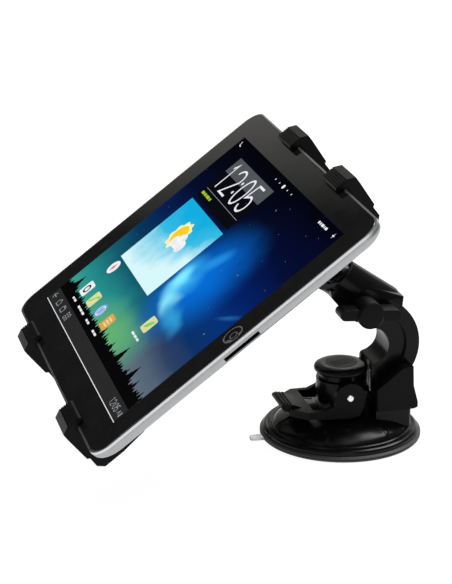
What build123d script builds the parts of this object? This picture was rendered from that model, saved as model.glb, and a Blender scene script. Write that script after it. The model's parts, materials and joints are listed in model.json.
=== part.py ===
"""Tablet-size GPS navigator in a four-claw holder on a suction mount.

Row frame, millimetres: the origin is the centre of the suction face, +Z up, -Y towards the
driver, +X to the driver's right when facing the screen.
Tablet frame: u = +X, v = up the slope of the screen, w = out of the screen; w = 0 is the glass.
"""
from build123d import *
from math import cos, radians, sin
import os

# ---------------------------------------------------------------- driving dimensions
PAD_R = 47.0               # suction pad radius
PAD_EDGE = 3.2             # pad thickness at the rim
STEM_LIFT = 2.5            # how far the lever pulls the stem up
DOME_R = 45.2
DOME_TOP = 14.0
COLUMN_R = 14.5
COLUMN_TOP = 34.6
SPIGOT_R = 11.0            # round spigot that the top knob turns on
SPIGOT_TOP = 38.4
BORE_R = 9.8
STEM_R = 4.2
STEM_GUIDE_TOP = 13.4      # the stem slides in a guide at the foot of the column
PIN_Z = 28.0               # lever pin height, on the column's axis
PIN_R = 2.0
LEVER_IN = 16.3            # inner and outer faces of the lever's arms
LEVER_OUT = 19.7
LEVER_EAR_R = 9.0
KNOB_R = 15.8
KNOB_TOP = 43.3
INLAY_R = 9.0              # flat disc let into the knob's top

BRACKET_HALF = 21.0        # half width of the bracket over its cheeks
SLOT_HALF = 12.5           # half width of the slot that takes the arm
PIVOT_Y = 27.0             # arm pivot
PIVOT_Z = 29.5
PIVOT_LUG_R = 8.0
PIVOT_R = 3.0

ARM_Y = 14.0               # centre of the C of the arm
ARM_Z = 56.0
ARM_OUT = 29.4
ARM_IN = 11.0
ARM_HALF = 11.6            # half width of the arm
NOSE_ANGLE = -87.0         # where the lower end of the C stops, over the knob
RIDGE_R = 22.3             # raised ridge on each side of the arm
CLAMP_Y = 9.0              # wing bolt
CLAMP_Z = 80.0
CLAMP_R = 2.5
HEAD_HALF = 10.4           # half width of the clamp head, and of the bosses on its sides
BOSS_HALF = 13.2

TUBE_PITCH = 34.6          # the socket tube points down and back by this angle
TUBE_R = 11.7
TUBE_LENGTH = 35.0
TUBE_Y = -1.7              # a point on the tube's axis, near its mouth
TUBE_Z = 95.2
MOUTH_Y = -2.95            # centre of the mouth, which is cut parallel to the screen
MOUTH_Z = 98.2
BALL_R = 8.5
BALL_DEPTH = 3.75          # ball centre behind the mouth

TILT = 36.94               # slope of the screen
GLASS_Y = -93.4            # centre of the glass
GLASS_Z = 108.0
TABLET_U = 242.8
TABLET_V = 189.7
TABLET_T = 9.4
EDGE_FLAT = 3.0            # upright part of the case's side; the rest curves in to the back
EDGE_CURVE = 12.0          # how far in it curves
TABLET_CORNER = 11.5
SCREEN_U = 198.0
SCREEN_V = 153.0
SCREEN_C = (1.0, 0.4)      # the display sits a little off centre
BUTTON_U = 111.0           # home button

UPPER_CLAW_U = 45.0        # claw centres each side of the middle
LOWER_CLAW_U = 65.5
CLAW_W = 25.4
CLAW_OUT = 103.2           # outer face of a claw, from the tablet's middle
LIP_IN = 90.2              # inner edge of a claw's lip
LIP_TOP = 3.9
GAP = 0.3                  # clearance between soft pads and the tablet
HOLDER_BACK = -27.8        # rear face of the holder
PLATE_BACK = -13.2         # front plate of its housing
PLATE_FRONT = -10.9
BODY_U = 39.0              # half width of the holder's housing
BODY_LOW = 24.0            # its lower and upper edges
BODY_HIGH = 92.0

TONGUE_U = 22.0            # half width of the sliding tongue
TONGUE_BACK = -22.2
TONGUE_FRONT = -17.4
JAW_TRAVEL = 25.0
BUTTON_V = 40.0            # release button and its pawl
HOLDER_SCREWS = [(-33.0, 30.5), (33.0, 30.5), (-33.0, 85.5), (33.0, 85.5)]

parts = {}


# ---------------------------------------------------------------- helpers
def between(shape, low, high):
    """Extrude a sketch drawn on XY from z = low to z = high."""
    return extrude(Pos(0, 0, low) * shape, high - low)


def along_x(shape, low, high):
    """Extrude a sketch drawn as (y, z) from x = low to x = high."""
    return extrude(Plane.YZ.offset(low) * shape, high - low)


def disc(radius, low, high, y=0.0):
    return Pos(0, y, 0) * between(Circle(radius), low, high)


def rod_x(radius, low, high, y, z):
    return along_x(Pos(y, z) * Circle(radius), low, high)


def outline(*points):
    return make_face(Polyline(*points, close=True))


def turned(*points):
    """Revolve an (r, z) outline about the Z axis."""
    return revolve(Plane.XZ * outline(*points), Axis.Z)


def block(x0, x1, y0, y1, z0, z1):
    return Pos((x0 + x1) / 2, (y0 + y1) / 2, (z0 + z1) / 2) * Box(x1 - x0, y1 - y0, z1 - z0)


def polar(radius, angle, y=ARM_Y, z=ARM_Z):
    return (y + radius * cos(radians(angle)), z + radius * sin(radians(angle)))


def coil(radius, wire, low, high, turns):
    """A closed-end coil spring about Z."""
    height = high - low - 2 * wire
    path = Pos(0, 0, low + wire) * Helix(pitch=height / turns, height=height, radius=radius)
    return sweep(Plane(path @ 0, z_dir=path % 0) * Circle(wire), path)


def both_sides(solid):
    return solid + mirror(solid, Plane.YZ)


def hex_head(across_flats, low, high, y, z):
    return along_x(Pos(y, z) * RegularPolygon(across_flats / 2, 6, major_radius=False), low, high)


ARM_SCREWS = [polar(17.0, -20), polar(17.0, 28)]
tube_back = Vector(0, cos(radians(TUBE_PITCH)), -sin(radians(TUBE_PITCH)))
tube_plane = Plane(origin=(0, TUBE_Y, TUBE_Z), x_dir=(1, 0, 0), z_dir=tube_back)
tablet_plane = Plane(
    origin=(0, GLASS_Y, GLASS_Z),
    x_dir=(1, 0, 0),
    z_dir=(0, -sin(radians(TILT)), cos(radians(TILT))),
)
mouth_plane = Plane(
    origin=(0, MOUTH_Y, MOUTH_Z),
    x_dir=tablet_plane.x_dir,
    z_dir=tablet_plane.z_dir,
)
ball_centre = mouth_plane.from_local_coords(Vector(0, 0, -BALL_DEPTH))
ball_local = tablet_plane.to_local_coords(ball_centre)
STUD_V = ball_local.Y      # where the ball stud's axis meets the holder
BALL_W = ball_local.Z


# ---------------------------------------------------------------- suction base
def suction_pad():
    """Rubber pad with a sealing groove, a beaded rim and a pocket for the stem's flange."""
    return turned(
        (0, 0), (38.6, 0), (38.6, 0.6), (40.4, 0.6), (40.4, 0), (PAD_R - 0.6, 0),
        (PAD_R, 0.6), (PAD_R, 1.2), (PAD_R - 0.5, 1.5), (PAD_R, 1.8), (PAD_R, 2.3),
        (PAD_R - 1.2, PAD_EDGE), (16.5, PAD_EDGE), (14.2, 7.6), (11.6, 7.6), (11.6, 1.8), (0, 1.8),
    )


def pull_tab():
    """Small clear tab at the front that lifts the pad's edge."""
    tab = between(Pos(0, -49.0) * RectangleRounded(6.0, 11.0, 2.0), 0.4, 1.8)
    return tab - disc(PAD_R + 0.02, -1, 5)


def base_housing():
    """Dome with ring steps and ribs, the column for the stem, and the foot of the bracket."""
    ring_steps = [
        (DOME_R, PAD_EDGE + 0.1), (DOME_R, 4.7), (44.4, 5.6), (43.4, 6.1), (42.6, 5.6), (42.0, 5.6),
        (41.4, 6.7), (40.6, 7.1), (39.9, 6.6), (39.3, 6.6),
    ]
    crown = [(38.9, 7.6), (37.0, 9.0), (34.4, 10.5), (31.0, 12.0), (27.0, 13.2), (23.0, DOME_TOP)]
    column = [
        (COLUMN_R, DOME_TOP), (COLUMN_R, COLUMN_TOP), (SPIGOT_R, COLUMN_TOP),
        (SPIGOT_R, SPIGOT_TOP), (BORE_R, SPIGOT_TOP), (BORE_R, STEM_GUIDE_TOP),
        (STEM_R + 0.08, STEM_GUIDE_TOP), (STEM_R + 0.08, 11.0),
    ]
    underside = [(22.0, 11.0), (27.0, 10.4), (31.0, 9.2), (34.4, 7.7), (37.0, 5.6), (42.4, 3.8)]
    body = turned(*ring_steps, *crown, *column, *underside, (42.8, PAD_EDGE + 0.1))
    for angle in range(30, 390, 60):
        body += Rot(0, 0, angle) * dome_rib()
    foot = block(-19.6, 19.6, 15.6, 37.4, 3.4, 18.6)
    foot = fillet(foot.edges().filter_by(Axis.Z).group_by(Axis.Y)[-1], 3.0)
    foot -= turned((0, 11.0), *underside, (42.4, 0), (0, 0))
    body += foot
    body += both_sides(rod_x(5.2, 11.5, LEVER_IN - 0.35, 0, PIN_Z))
    body -= disc(BORE_R, STEM_GUIDE_TOP, 40)
    body -= rod_x(PIN_R + 0.05, -20, 20, 0, PIN_Z)
    for x in (-15.0, 15.0):
        body -= Pos(x, 30.0, 0) * between(Circle(1.55), 0, 20)
        body -= Pos(x, 30.0, 0) * between(Circle(2.5), 0, 10.3)
    return body


def dome_rib():
    """One low radial rib on the dome, along +X."""
    rib = outline((23.5, 12.4), (23.5, 14.3), (27.4, 13.6), (31.5, 12.3), (35.0, 10.7),
                  (37.6, 9.0), (38.9, 7.7), (38.9, 6.2))
    return extrude(Plane.XZ.offset(-0.6) * rib, 1.2)


def suction_stem():
    """Flange, stem and yoke: the cam inside the yoke lifts the middle of the pad."""
    centre = PIN_Z + STEM_LIFT / 2
    stem = disc(11.0, 4.9, 7.0) + disc(STEM_R, 7.0, centre - 6.0)
    yoke = block(-4.3, 4.3, -8.3, 8.3, centre - 7.0, centre + 5.65)
    yoke = fillet(yoke.edges().filter_by(Axis.X), 1.2)
    window = block(-5, 5, -6.6, 6.6, centre - 4.65, centre + 4.65)
    return stem + yoke - window


def lever_cam():
    """Eccentric cam keyed to the lever pin inside the yoke."""
    offset = STEM_LIFT / 2
    cam = rod_x(4.4, -4.0, 4.0, offset, PIN_Z + offset)
    return cam - rod_x(PIN_R, -5, 5, 0, PIN_Z)


def lever_pin():
    pin = rod_x(PIN_R, -LEVER_OUT - 0.4, LEVER_OUT + 0.4, 0, PIN_Z)
    return chamfer(pin.edges().filter_by(GeomType.CIRCLE), 0.4)


def lever():
    """Fork that straddles the column, with a cross plate and a ribbed thumb tab."""
    arm = outline((8.6, 28.0), (8.4, 22.0), (6.0, 17.2), (1.0, 15.6), (-12.0, 16.2), (-24.5, 17.4),
                  (-24.5, 21.6), (-15.0, 21.6), (-9.5, 24.0), (-8.4, 28.0))
    arm += Pos(0, PIN_Z) * Circle(LEVER_EAR_R)
    fork = both_sides(along_x(arm, LEVER_IN, LEVER_OUT))
    plate_plan = outline((-LEVER_OUT, -21.4), (LEVER_OUT, -21.4), (LEVER_OUT, -25.0), (13.0, -32.5),
                         (10.0, -34.0), (-10.0, -34.0), (-13.0, -32.5), (-LEVER_OUT, -25.0))
    plate = between(plate_plan, 17.2, 21.6)
    tab_side = outline((-26.5, 18.4), (-33.0, 18.8), (-37.2, 20.5), (-38.8, 22.5), (-38.4, 23.9),
                       (-36.6, 24.4), (-31.0, 23.6), (-26.5, 21.6))
    body = fork + plate + along_x(tab_side, -10.5, 10.5)
    for y, z in ((-32.6, 23.9), (-34.6, 24.2), (-36.6, 24.5)):
        body += Pos(0, y, z) * Box(19.0, 0.8, 1.0)
    return body - rod_x(PIN_R, -25, 25, 0, PIN_Z)


def stem_spring():
    """Return spring between the flange and the housing."""
    return coil(6.6, 0.55, 7.05, 10.95, 2.5)


# ---------------------------------------------------------------- top knob
def knob():
    """Round cap with a narrower neck that turns on the column's spigot."""
    return turned(
        (0, 40.4), (0, KNOB_TOP - 0.6), (INLAY_R, KNOB_TOP - 0.6), (INLAY_R, KNOB_TOP),
        (12.0, KNOB_TOP - 0.1), (14.2, KNOB_TOP - 0.6), (15.3, 42.0),
        (KNOB_R, 41.0), (KNOB_R, 39.8), (15.0, 38.9), (13.1, 38.7), (12.9, COLUMN_TOP + 0.35),
        (SPIGOT_R + 0.06, COLUMN_TOP + 0.35), (SPIGOT_R + 0.06, 40.4),
    )


def knob_inlay():
    """Disc let into the knob's top, with plain parallel grooves."""
    inlay = disc(INLAY_R, KNOB_TOP - 0.6, KNOB_TOP)
    for x in (-3.0, -1.0, 1.0, 3.0):
        inlay -= Rot(0, 0, 20) * block(x - 0.3, x + 0.3, -6.5, 6.5, KNOB_TOP - 0.3, KNOB_TOP + 1)
    return inlay


# ---------------------------------------------------------------- bracket and arm
def bracket():
    """Two cheeks on a common base that carry the arm's pivot."""
    side = outline((15.5, 18.7), (15.5, 31.8), (29.4, 42.8), (31.2, 43.9), (37.2, 45.0),
                   (37.7, 33.0), (40.4, 22.6), (40.4, 19.6), (38.0, 18.7))
    body = along_x(side, -BRACKET_HALF, BRACKET_HALF)
    body = fillet(body.edges().filter_by(Axis.Z).group_by(Axis.Y)[0], 1.5)
    slot = outline((10, 50), (10, 24.0), (PIVOT_Y - 6, 24.0), (PIVOT_Y, PIVOT_Z - 8.4),
                   (45, PIVOT_Z - 8.4), (45, 50))
    slot += Pos(PIVOT_Y, PIVOT_Z) * Circle(PIVOT_LUG_R + 0.4)
    body -= along_x(slot, -SLOT_HALF, SLOT_HALF)
    body -= rod_x(PIVOT_R + 0.05, -30, SLOT_HALF + 4.5, PIVOT_Y, PIVOT_Z)
    body -= hex_head(8.06, SLOT_HALF + 1.4, SLOT_HALF + 4.5, PIVOT_Y, PIVOT_Z)
    body -= rod_x(5.6, -BRACKET_HALF - 1, -BRACKET_HALF + 3.6, PIVOT_Y, PIVOT_Z)
    body -= disc(COLUMN_R + 0.5, 0, 60)
    for x in (-15.0, 15.0):
        body -= Pos(x, 30.0, 0) * between(Circle(1.25), 10, 24.6)
    return body


def bracket_screws():
    screw = between(Circle(2.4), 8.3, 10.25) + between(Circle(1.25), 10.25, 24.4)
    screw -= between(Rectangle(3.2, 0.7) + Rectangle(0.7, 3.2), 8, 9.4)
    return Compound([Pos(x, 30.0, 0) * screw for x in (-15.0, 15.0)])


def arm_body():
    """Whole C arm with its lug, clamp head and socket tube, before it is split in two."""
    outer = Pos(ARM_Y, ARM_Z) * Circle(ARM_OUT)
    inner = Pos(ARM_Y, ARM_Z) * Circle(ARM_IN)
    wedge = outline(polar(60, NOSE_ANGLE), polar(60, -60), polar(60, 0), polar(60, 60), polar(60, 93),
                    (ARM_Y, ARM_Z))
    ring = (outer - inner) & wedge
    tip = Vector(*polar(ARM_IN, NOSE_ANGLE))
    ring = fillet(ring.vertices().sort_by_distance(tip)[0], 2.5)
    lug = Pos(PIVOT_Y, PIVOT_Z) * Circle(PIVOT_LUG_R)
    neck = outline(polar(15, -88), polar(28.6, -88), (PIVOT_Y - 7.6, PIVOT_Z - 1.0),
                   (PIVOT_Y + 7.9, PIVOT_Z + 1.0), polar(29.2, -32), polar(15, -40))
    head = outline((-10.2, 90.8), (-9.4, 86.6), (-3.9, 80.0), (2.0, 74.0), (5.4, 71.0),
                   (11.0, 69.8), (18.5, 66.2), (32.8, 76.4), (33.6, 84.2), (12.0, 92.0))
    body = along_x(ring + lug + neck, -ARM_HALF, ARM_HALF)
    body += along_x(head, -HEAD_HALF, HEAD_HALF)
    tube = fillet((tube_plane * disc(TUBE_R, -12, TUBE_LENGTH)).faces().sort_by(Axis.Y)[-1].edges(), 2.0)
    body += tube
    body += rod_x(8.0, -BOSS_HALF, BOSS_HALF, CLAMP_Y + 1.6, CLAMP_Z + 2.4)
    body -= mouth_plane * Pos(0, 0, 25) * Box(80, 60, 50)
    body -= disc(KNOB_R + 1.1, 0, 44.6)
    return body


def arm_details(body):
    """Side recess inside a raised ridge, socket cavity, bores and the clamping gap."""
    recess = Pos(ARM_Y, ARM_Z) * Circle(RIDGE_R - 0.9) - Pos(ARM_Y, ARM_Z) * Circle(ARM_IN + 2.2)
    ridge = Pos(ARM_Y, ARM_Z) * Circle(RIDGE_R + 0.8) - Pos(ARM_Y, ARM_Z) * Circle(RIDGE_R - 0.9)
    sector = outline((ARM_Y, ARM_Z), polar(60, -76), polar(60, -40), polar(60, 0), polar(60, 36),
                     polar(60, 46))
    body += both_sides(along_x(ridge & sector, ARM_HALF - 0.1, ARM_HALF + 0.6))
    body -= both_sides(along_x(recess & sector, ARM_HALF - 1.6, ARM_HALF + 1))
    body -= Pos(ball_centre) * Sphere(BALL_R + 1.45)
    body -= rod_x(CLAMP_R + 0.06, -30, 30, CLAMP_Y, CLAMP_Z)
    body -= hex_head(8.06, -14, -10.0, CLAMP_Y, CLAMP_Z)
    body -= rod_x(PIVOT_R + 0.06, -30, 30, PIVOT_Y, PIVOT_Z)
    body -= tube_plane * Pos(0, 0, TUBE_LENGTH / 2 - 8) * Box(0.6, 40, TUBE_LENGTH + 6)
    for y, z in ARM_SCREWS:
        body -= rod_x(1.3, -9.0, 9.0, y, z)
        body -= rod_x(2.4, -20, -6.5, y, z)
    return body


def half(body, side):
    """The part of the arm on one side of x = 0; side is +1 or -1."""
    keep = block(0, 40, -80, 120, 0, 160) if side > 0 else block(-40, 0, -80, 120, 0, 160)
    return body & keep


def arm_screws():
    screws = []
    for y, z in ARM_SCREWS:
        screw = rod_x(2.3, -8.6, -6.5, y, z) + rod_x(1.3, -6.5, 8.8, y, z)
        screws.append(screw - hex_head(2.0, -9, -7.6, y, z))
    return Compound(screws)


def pivot_bolt():
    """Low round-headed bolt from the far cheek, through the arm, into the captive nut."""
    head = rod_x(5.4, -BRACKET_HALF + 0.6, -BRACKET_HALF + 3.6, PIVOT_Y, PIVOT_Z)
    shank = rod_x(PIVOT_R, -BRACKET_HALF + 3.6, SLOT_HALF + 4.3, PIVOT_Y, PIVOT_Z)
    socket = hex_head(3.4, -BRACKET_HALF, -BRACKET_HALF + 2.4, PIVOT_Y, PIVOT_Z)
    return head + shank - socket


def pivot_nut():
    nut = hex_head(8.0, SLOT_HALF + 1.5, SLOT_HALF + 4.4, PIVOT_Y, PIVOT_Z)
    return nut - rod_x(PIVOT_R + 0.02, 0, 40, PIVOT_Y, PIVOT_Z)


def pivot_washers():
    washer = rod_x(6.4, ARM_HALF + 0.05, SLOT_HALF - 0.05, PIVOT_Y, PIVOT_Z)
    washer -= rod_x(PIVOT_R + 0.05, 0, 40, PIVOT_Y, PIVOT_Z)
    return both_sides(washer)


# ---------------------------------------------------------------- wing knob and ball joint
def wing_knob():
    """Two-winged hand knob on the near side of the arm."""
    hub = rod_x(7.9, 13.6, 28.0, 0, 0)
    hub = chamfer(hub.faces().sort_by(Axis.X)[-1].edges(), 1.2)
    wings = along_x(SlotOverall(36.0, 6.2, rotation=-4), 15.5, 26.4)
    knob_body = hub + wings
    knob_body -= rod_x(CLAMP_R, 13, 24.0, 0, 0)
    return Pos(0, CLAMP_Y, CLAMP_Z) * knob_body


def wing_bolt():
    bolt = rod_x(CLAMP_R, -14.6, 24.0, CLAMP_Y, CLAMP_Z)
    return chamfer(bolt.edges().filter_by(GeomType.CIRCLE), 0.5)


def clamp_nut():
    nut = hex_head(8.0, -13.2, -10.05, CLAMP_Y, CLAMP_Z)
    return nut - rod_x(CLAMP_R + 0.05, -20, 0, CLAMP_Y, CLAMP_Z)


def ball_liner():
    """Spherical plastic liner between the ball and the socket."""
    shell = Sphere(BALL_R + 1.38) - Sphere(BALL_R + 0.07)
    front = Pos(0, 0, 52.0) * Box(100, 100, 100)
    rear = Pos(0, 0, -57.4) * Box(100, 100, 100)
    return mouth_plane * Pos(0, 0, -BALL_DEPTH) * (shell - front - rear)


def ball_stud():
    """Ball, neck, flange and the spigot that the holder rolls on; built in the tablet frame."""
    ball = Pos(0, STUD_V, BALL_W) * Sphere(BALL_R)
    neck_start = BALL_W + BALL_R - 1.2
    neck = turned((0, neck_start), (3.7, neck_start), (3.5, BALL_W + 13), (4.2, -47.5), (6.4, -44.6),
                  (10.2, -43.4), (10.2, -40.4), (5.0, -40.4), (5.0, -22.6), (0, -22.6))
    return tablet_plane * (ball + Pos(0, STUD_V, 0) * neck)


def stud_washer():
    washer = between(Circle(9.6) - Circle(5.05), -40.35, -39.45)
    return tablet_plane * Pos(0, STUD_V, 0) * washer


def stud_nut():
    nut = between(RegularPolygon(7.5, 6) - Circle(5.02), -25.55, -22.9)
    return tablet_plane * Pos(0, STUD_V, 0) * nut


# ---------------------------------------------------------------- holder
def holder_back():
    """Rear shell of the holder's housing, with the hub for the ball stud."""
    shell = between(Pos(0, (BODY_LOW + BODY_HIGH) / 2) * RectangleRounded(
        2 * BODY_U, BODY_HIGH - BODY_LOW, 6.0), HOLDER_BACK, PLATE_BACK - 0.05)
    shell = fillet(shell.faces().sort_by(Axis.Z)[0].edges(), 2.0)
    cavity = between(Pos(0, (BODY_LOW + BODY_HIGH) / 2) * RectangleRounded(
        2 * BODY_U - 4.4, BODY_HIGH - BODY_LOW - 4.4, 4.0), HOLDER_BACK + 2.2, 0)
    shell -= cavity
    hub = Pos(0, STUD_V, 0) * between(Circle(13.5), -39.4, HOLDER_BACK + 2.2)
    hub = chamfer(hub.faces().sort_by(Axis.Z)[0].edges(), 1.0)
    shell += hub
    shell += Pos(0, STUD_V, 0) * between(Circle(9.0), HOLDER_BACK, HOLDER_BACK + 2.2)
    shell -= Pos(0, STUD_V, 0) * between(Circle(5.06), -60, 0)
    for u, v in HOLDER_SCREWS:
        shell += Pos(u, v, 0) * between(Circle(3.0), HOLDER_BACK + 1.0, PLATE_BACK - 0.05)
        shell -= Pos(u, v, 0) * between(Circle(1.3), -40, 0)
        shell -= Pos(u, v, 0) * between(Circle(2.6), -40, HOLDER_BACK + 2.1)
    shell += block(26.0, 27.2, BUTTON_V + 2.5, BUTTON_V + 6.0, HOLDER_BACK + 1, -17.5)
    mouth = TONGUE_U + 0.35
    shell -= block(-mouth, mouth, BODY_LOW - 5, BODY_LOW + 5, TONGUE_BACK - 0.35,
                   TONGUE_FRONT + 0.35)
    shell -= block(BODY_U - 4, BODY_U + 4, BUTTON_V - 6.3, BUTTON_V + 6.3, -25.3, -18.7)
    return shell


def holder_front():
    """Front plate of the housing, behind the tablet, with two ribs that guide the tongue."""
    plate = between(Pos(0, (BODY_LOW + BODY_HIGH) / 2) * RectangleRounded(
        2 * BODY_U, BODY_HIGH - BODY_LOW, 6.0), PLATE_BACK, PLATE_FRONT)
    plate += both_sides(block(4.0, 7.0, BODY_LOW + 4, BODY_HIGH - 4, TONGUE_FRONT + 0.35, PLATE_BACK))
    for u, v in HOLDER_SCREWS:
        plate -= Pos(u, v, 0) * between(Circle(1.3), PLATE_BACK - 1, PLATE_FRONT - 0.8)
    return plate


def holder_screws():
    screws = []
    for u, v in HOLDER_SCREWS:
        head = between(Circle(2.45), HOLDER_BACK + 0.5, HOLDER_BACK + 2.1)
        shank = between(Circle(1.28), HOLDER_BACK + 2.1, PLATE_FRONT - 0.85)
        drive = between(Rectangle(3.4, 0.8) + Rectangle(0.8, 3.4), HOLDER_BACK, HOLDER_BACK + 1.3)
        screws.append(Pos(u, v, 0) * (head + shank - drive))
    return Compound(screws)


def back_pads():
    """Two foam strips that the tablet's back rests on."""
    strip = RectangleRounded(60.0, 9.0, 3.0)
    return Compound([
        between(Pos(0, v) * strip, PLATE_FRONT + 0.05, -TABLET_T - GAP)
        for v in (BODY_LOW + 8, BODY_HIGH - 8)
    ])


def claw(side):
    """One claw in (v, w): wall, bevelled lip and rear step; side is +1 above, -1 below."""
    hook = [
        (LIP_IN, 0.95), (LIP_IN, 2.9), (LIP_IN + 1.0, LIP_TOP), (98.6, LIP_TOP), (CLAW_OUT, 1.6),
        (CLAW_OUT, -2.0), (CLAW_OUT - 0.9, -17.6), (CLAW_OUT - 2.3, -18.6), (CLAW_OUT - 2.3, -24.6),
        (CLAW_OUT - 5.6, HOLDER_BACK), (84.0, HOLDER_BACK), (84.0, -17.2), (96.4, -17.2),
        (96.4, 0.95),
    ]
    return outline(*[(side * v, w) for v, w in hook])


def claw_solid(side):
    """A claw centred on u = 0, with grip ridges along its lip."""
    body = along_x(claw(side), -CLAW_W / 2, CLAW_W / 2)
    for step in range(5):
        v = side * (91.6 + 1.55 * step)
        body -= block(-CLAW_W / 2 - 1, CLAW_W / 2 + 1, v - 0.3, v + 0.3, LIP_TOP - 0.35, LIP_TOP + 1)
    return body


def upper_claw(u):
    """Fixed upper claw: the hook and the strap that joins it to the housing's corner."""
    hook = Pos(u, 0, 0) * claw_solid(+1)
    side = 1 if u > 0 else -1
    outer = abs(u) + CLAW_W / 2
    edge = BODY_U + 0.05
    plan = [(edge, 60.0), (outer - 2.0, 80.0), (outer, 84.0), (edge, 84.0)]
    reach = between(outline(*[(side * a, b) for a, b in plan]), HOLDER_BACK, -17.2)
    return hook + reach - block(-edge, edge, 0, BODY_HIGH + 0.05, -60, 0)


def claw_pads(u_centre, side):
    """Rubber lining of one pair of claws: wall strip and lip strip in one L."""
    face = TABLET_V / 2 + GAP
    lining = [
        (LIP_IN + 0.8, GAP), (LIP_IN + 0.8, 0.93), (96.38, 0.93), (96.38, -9.0), (face, -9.0),
        (face, GAP),
    ]
    sketch = outline(*[(side * v, w) for v, w in lining])
    strip = along_x(sketch, -CLAW_W / 2 + 1.5, CLAW_W / 2 - 1.5)
    return Compound([Pos(u_centre, 0, 0) * strip, Pos(-u_centre, 0, 0) * strip])


def lower_jaw():
    """Sliding jaw: a slotted, toothed tongue and two angled straps to the lower claws."""
    tongue = block(-TONGUE_U, TONGUE_U, -62.0, 84.0, TONGUE_BACK, TONGUE_FRONT)
    plan = outline((-TONGUE_U, -40.0), (TONGUE_U, -40.0), (52.8, -84.0), (LOWER_CLAW_U + 12.7, -84.0),
                   (LOWER_CLAW_U + 9.5, -70.0), (38.0, -26.0), (TONGUE_U, -6.0),
                   (-TONGUE_U, -6.0), (-38.0, -26.0), (-LOWER_CLAW_U - 9.5, -70.0),
                   (-LOWER_CLAW_U - 12.7, -84.0), (-52.8, -84.0))
    frame = tongue + between(plan, HOLDER_BACK, TONGUE_FRONT)
    frame -= Pos(0, -10.0, 0) * between(RectangleRounded(22, 52, 5), -40, 0)
    slot_low = BUTTON_V - 3.5
    slot_high = BUTTON_V + JAW_TRAVEL + 3.5
    frame -= block(11.5, 19.0, slot_low, slot_high, -30, 0)
    teeth = 9
    for tooth in range(teeth):
        v = BUTTON_V + tooth * JAW_TRAVEL / (teeth - 1)
        frame -= Pos(19.0, v, -20) * Rot(0, 0, 45) * Box(1.5, 1.5, 8)
    return frame


def lower_claw(u):
    return Pos(u, 0, 0) * claw_solid(-1) - block(-100, 100, -83.98, 0, -60, 0)


def release_button():
    """Push button on the side of the housing; its bar ends in a pawl post inside the slot."""
    cap = block(BODY_U - 6.0, BODY_U + 2.4, BUTTON_V - 6.0, BUTTON_V + 6.0, -25.0, -19.0)
    cap = fillet(cap.edges().filter_by(Axis.X), 1.5)
    bar = block(15.5, BODY_U - 6.0, BUTTON_V - 1.6, BUTTON_V + 1.6, -25.2, -22.6)
    post = Pos(17.2, BUTTON_V, -20.9) * Rot(0, 0, 45) * Box(2.2, 2.2, 4.6)
    return cap + bar + post


def release_spring():
    spring = coil(1.9, 0.3, 0.0, 5.4, 4)
    return Pos(BODY_U - 11.6, 44.0, -21.5) * Rot(0, 90, 0) * spring


# ---------------------------------------------------------------- tablet
def slab(inset, low, high, corner=TABLET_CORNER):
    plan = RectangleRounded(TABLET_U - 2 * inset, TABLET_V - 2 * inset, corner - inset)
    return between(plan, low, high)


def rear_shell():
    """Aluminium tub with a flat rim, sides that curve in to the back, and stepped pockets."""
    depth = TABLET_T - EDGE_FLAT
    sections = []
    for angle in (0, 20, 40, 60, 76, 90):
        inset = 0.3 + EDGE_CURVE * (1 - cos(radians(angle)))
        level = -EDGE_FLAT - depth * sin(radians(angle))
        sections.append(Pos(0, 0, level) * RectangleRounded(
            TABLET_U - 2 * inset, TABLET_V - 2 * inset, TABLET_CORNER - 0.4 * inset))
    tub = slab(0.3, -EDGE_FLAT, -1.6) + loft(sections)
    for inset, floor in ((2.4, -4.6), (4.6, -6.6), (9.0, -8.0)):
        tub -= slab(inset, floor, 0, TABLET_CORNER)
    half_u = TABLET_U / 2
    tub -= block(half_u - 6, half_u + 2, -11.4, 11.4, -5.6, -3.0)
    tub -= block(-half_u - 2, -half_u + 6, 54.8, 65.2, -5.0, -2.9)
    tub -= block(-95.2, -75.8, TABLET_V / 2 - 6, TABLET_V / 2 + 2, -5.0, -2.9)
    for row in range(3):
        for column in range(10):
            hole = between(Circle(0.6), -TABLET_T - 1, -7)
            tub -= Pos(half_u - 12 - 2.2 * row, -70 + 2.2 * column, 0) * hole
    return tub


def bezel_ring():
    """Bright metal trim round the glass."""
    return slab(0.0, -1.55, 0.0) - slab(1.1, -2, 1)


def front_glass():
    glass = slab(1.15, -1.5, 0.0)
    glass = chamfer(glass.faces().sort_by(Axis.Z)[-1].edges(), 0.3)
    return glass - Pos(BUTTON_U, 0, 0) * between(Circle(6.9), -5, 5)


def lcd_panel():
    return between(Pos(*SCREEN_C) * Rectangle(SCREEN_U + 5, SCREEN_V + 5), -4.0, -1.55)


def battery():
    cells = [between(Pos(u, -6) * RectangleRounded(64, 118, 3), -7.9, -4.2) for u in (-70, 2)]
    return Compound(cells)


def mainboard():
    board = between(Pos(72, 0) * Rectangle(56, 150), -5.4, -4.6)
    for u, v, wide, tall in ((64, 30, 16, 16), (84, 42, 12, 14), (66, -18, 12, 18), (86, -30, 10, 10)):
        board += between(Pos(u, v) * Rectangle(wide, tall), -6.8, -5.4)
    return board


def dock_connector():
    shell = block(TABLET_U / 2 - 12, TABLET_U / 2 - 1.2, -11.2, 11.2, -5.5, -3.1)
    shell -= block(TABLET_U / 2 - 9, TABLET_U / 2 + 1, -10.4, 10.4, -4.9, -3.6)
    contact_bar = block(TABLET_U / 2 - 9.5, TABLET_U / 2 - 3, -9.6, 9.6, -4.45, -4.0)
    return shell + contact_bar


def home_button():
    cap = turned((0, -2.2), (6.6, -2.2), (6.6, -0.35), (5.6, -0.25), (3.4, -0.75), (0, -0.9))
    return Pos(BUTTON_U, 0, 0) * cap


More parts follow.
